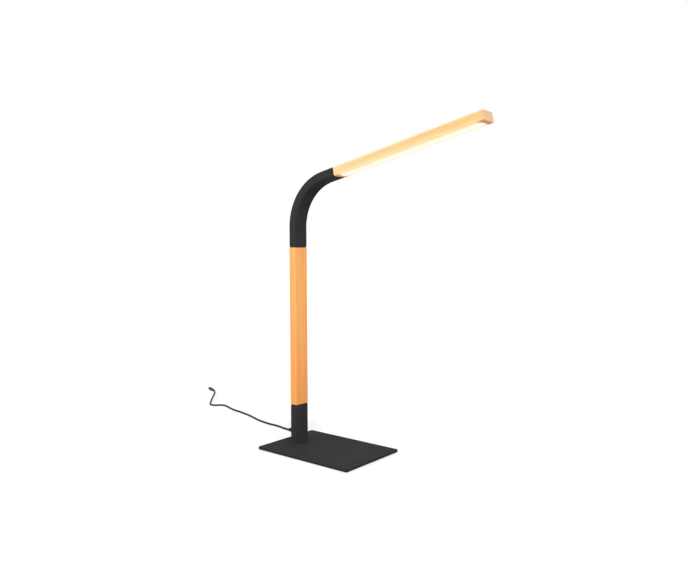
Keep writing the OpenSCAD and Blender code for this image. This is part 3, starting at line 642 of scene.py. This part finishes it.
def strap_tree(material):
    """Sweeps a flat band with eased edges along a line of points."""
    tree = bpy.data.node_groups.new("strap_sweep", "GeometryNodeTree")
    face = tree.interface
    face.new_socket("Line", in_out="INPUT", socket_type="NodeSocketGeometry")
    sizes = {}
    for name in ("Width", "Thickness", "Edge radius"):
        sizes[name] = face.new_socket(name, in_out="INPUT", socket_type="NodeSocketFloat").identifier
    face.new_socket("Strap", in_out="OUTPUT", socket_type="NodeSocketGeometry")
    start = add_node(tree, "NodeGroupInput")
    path = add_node(tree, "GeometryNodeMeshToCurve")
    section = add_node(tree, "GeometryNodeCurvePrimitiveQuadrilateral")
    ease = add_node(tree, "GeometryNodeFilletCurve", {"Count": STRAP_EDGE_STEPS}, mode="POLY")
    sweep = add_node(tree, "GeometryNodeCurveToMesh", {"Fill Caps": True})
    smooth = add_node(tree, "GeometryNodeSetShadeSmooth")
    real = add_node(tree, "GeometryNodeRealizeInstances")
    finish = add_node(tree, "GeometryNodeSetMaterial", {"Material": material})
    end = add_node(tree, "NodeGroupOutput")
    feed(tree, path, {"Mesh": start.outputs["Line"]})
    feed(tree, section, {"Width": start.outputs["Width"], "Height": start.outputs["Thickness"]})
    feed(tree, ease, {"Curve": section.outputs["Curve"], "Radius": start.outputs["Edge radius"]})
    feed(tree, sweep, {"Curve": path.outputs["Curve"], "Profile Curve": ease.outputs["Curve"]})
    feed(tree, smooth, {"Geometry": sweep.outputs["Mesh"]})
    feed(tree, real, {"Geometry": smooth.outputs["Geometry"]})
    feed(tree, finish, {"Geometry": real.outputs["Geometry"]})
    feed(tree, end, {"Strap": finish.outputs["Geometry"]})
    return tree, sizes


def realised(piece):
    """Turns what a piece's modifiers make into its own plain mesh."""
    graph = bpy.context.evaluated_depsgraph_get()
    mesh = bpy.data.meshes.new_from_object(piece.evaluated_get(graph))
    piece.modifiers.clear()
    piece.data = mesh
    mesh.name = piece.name


def make_strap(material):
    """The strap that holds the hank together."""
    line = [hank_to_lamp(p) * MM for p in strap_line()]
    mesh = bpy.data.meshes.new("strap")
    mesh.from_pydata(line, [(i, i + 1) for i in range(len(line) - 1)], [])
    strap = add_object("hank_strap", mesh)
    tree, sizes = strap_tree(material)
    sweep = strap.modifiers.new("sweep", "NODES")
    sweep.node_group = tree
    sweep[sizes["Width"]] = STRAP_WIDTH * MM
    sweep[sizes["Thickness"]] = STRAP_THICKNESS * MM
    sweep[sizes["Edge radius"]] = STRAP_EDGE_RADIUS * MM
    realised(strap)
    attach(strap, "lamp")
    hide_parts("hank_tie")
    return strap


# Stage

def seen_directly(tree):
    """1 for rays from the camera and for those that metal and glass reflect or let through."""
    path = add_node(tree, "ShaderNodeLightPath")
    seen = maths(tree, "MAXIMUM", path.outputs["Is Camera Ray"], path.outputs["Is Glossy Ray"])
    return maths(tree, "MAXIMUM", seen, path.outputs["Is Transmission Ray"])


def make_floor():
    """A pale floor that takes the lamp's shadow, lifted to white where the lights no longer reach."""
    quarters = ((-1, -1), (1, -1), (1, 1), (-1, 1))
    corners = [(x * FLOOR_REACH, y * FLOOR_REACH, FLOOR_LEVEL) for x, y in quarters]
    mesh = bpy.data.meshes.new("floor")
    mesh.from_pydata(corners, [], [(0, 1, 2, 3)])
    floor = add_object("floor", mesh)
    material = bpy.data.materials.new("floor_white")
    material.use_nodes = True
    tree = material.node_tree
    tree.nodes.clear()
    place = add_node(tree, "ShaderNodeTexCoord")
    away = add_node(tree, "ShaderNodeVectorMath", operation="LENGTH")
    tree.links.new(place.outputs["Object"], away.inputs[0])
    even = spread(tree, away.outputs["Value"], FLOOR_NEAR_AND_FAR, FLOOR_LIFT)
    matt = add_node(tree, "ShaderNodeBsdfDiffuse", {"Color": (FLOOR_GREY, FLOOR_GREY, FLOOR_GREY, 1)})
    lift = add_node(tree, "ShaderNodeEmission")
    feed(tree, lift, {"Strength": maths(tree, "MULTIPLY", seen_directly(tree), even)})
    total = add_node(tree, "ShaderNodeAddShader")
    tree.links.new(matt.outputs["BSDF"], total.inputs[0])
    tree.links.new(lift.outputs["Emission"], total.inputs[1])
    output = add_node(tree, "ShaderNodeOutputMaterial")
    feed(tree, output, {"Surface": total.outputs["Shader"]})
    mesh.materials.append(material)


def make_world():
    """White behind the lamp, and a softer white light from all round."""
    world = bpy.data.worlds.new("studio")
    bpy.context.scene.world = world
    world.use_nodes = True
    tree = world.node_tree
    back = tree.nodes["Background"]
    set_inputs(back, {"Color": (1, 1, 1, 1)})
    strength = maths(tree, "MULTIPLY_ADD", seen_directly(tree), 1 - ROUND_LIGHT, ROUND_LIGHT)
    feed(tree, back, {"Strength": strength})


def area_light(name, place, target, side, watts):
    """A square soft light that faces its target."""
    lamp = bpy.data.lights.new(name, "AREA")
    lamp.shape = "SQUARE"
    lamp.size = side
    lamp.energy = watts
    made = add_object(name, lamp)
    made.location = place
    made.rotation_mode = "QUATERNION"
    made.rotation_quaternion = (Vector(target) - Vector(place)).to_track_quat("-Z", "Y")


def make_lights():
    """Two windows and a panel overhead."""
    area_light("key_window", place=(-1.1, -1.7, 1.0), target=(0, 0, 0.3), side=1.4, watts=32)
    area_light("side_window", place=(1.5, -0.4, 1.2), target=(0, 0, 0.35), side=1.1, watts=22)
    area_light("top_panel", place=(0.2, 0.2, 3.0), target=(0, 0, 0.2), side=2.2, watts=10)


# Dressing

def make_finishes(cord_skin, strap_skin):
    """A finish for every material slot of the record."""
    return {
        "base_rubber": moulded(
            "pad_rubber", *PAD_BLACK, rough=(0.7, 0.85), specular=0.25, grain=1100, relief=0.4
        ),
        "black_coat": powder_coat("tube_coat", *TUBE_BLACK),
        "screw_steel": bare_metal("zinc_steel", (0.42, 0.42, 0.43), (0.55, 0.55, 0.56), rough=(0.3, 0.45)),
        "cast_aluminium": bare_metal(
            "cast_aluminium", (0.5, 0.51, 0.52), (0.62, 0.63, 0.64), rough=(0.45, 0.6)
        ),
        "stem_wood": beech(
            "stem_beech", STEM_CENTRE, lean=0.0, half_length=STEM_HALF_LENGTH, tones=STEM_TONES,
            drift=STEM_DRIFT, specular=0.14,
        ),
        "bar_wood": lit_beech(),
        "channel_aluminium": bare_metal(
            "drawn_aluminium", (0.68, 0.69, 0.7), (0.78, 0.79, 0.8), rough=(0.3, 0.42), drawn=(0.05, 1, 1)
        ),
        "led_board_white": moulded(
            "board_white", (0.78, 0.78, 0.75), (0.85, 0.85, 0.82), rough=(0.25, 0.35), specular=0.5
        ),
        "led_chip": light_chip(),
        "white_plastic": moulded("white_plastic", (0.78, 0.78, 0.76), (0.85, 0.85, 0.83)),
        "opal_diffuser": opal(),
        "lead_sheath": moulded("lead_sheath", *LEAD_BLACK),
        "black_plastic": moulded("black_plastic", *MOULDED_BLACK),
        "board_green": moulded(
            "board_green", (0.012, 0.1, 0.035), (0.02, 0.14, 0.05), rough=(0.25, 0.35), specular=0.5
        ),
        "black_rubber": moulded("gland_rubber", *MOULDED_BLACK, rough=(0.55, 0.68), specular=0.3),
        "cord_sheath": cord_skin,
        "tie_wrap": strap_skin,
        "plug_plastic": moulded("plug_plastic", *MOULDED_BLACK, rough=(0.38, 0.5)),
        "plug_metal": bare_metal("plug_nickel", (0.62, 0.6, 0.56), (0.72, 0.7, 0.66), rough=(0.16, 0.26)),
    }


def dress(finishes, own):
    """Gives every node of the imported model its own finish, or else that of its slot in the record."""
    for part in frame["record"]["subparts"]:
        mesh = nodes[part["node"]].data
        mesh.materials.clear()
        mesh.materials.append(own.get(part["node"]) or finishes[part["material_slot"]])


make_camera()
cord_skin = moulded("cord_sheath", *CORD_BLACK, rough=(0.52, 0.64), specular=0.16, grain=1800, relief=0.1)
strap_skin = strap_weave()
cord = make_cord(cord_skin)
strap = make_strap(strap_skin)
# The base plate gets its own coat: the tube coat, darkened by painted shade
dress(make_finishes(cord_skin, strap_skin), own={"base_plate": powder_coat("base_coat_painted_shade", *BASE_BLACK_PAINTED_SHADE)})
make_floor()
make_world()
make_lights()
bpy.context.scene.view_settings.view_transform = "Standard"
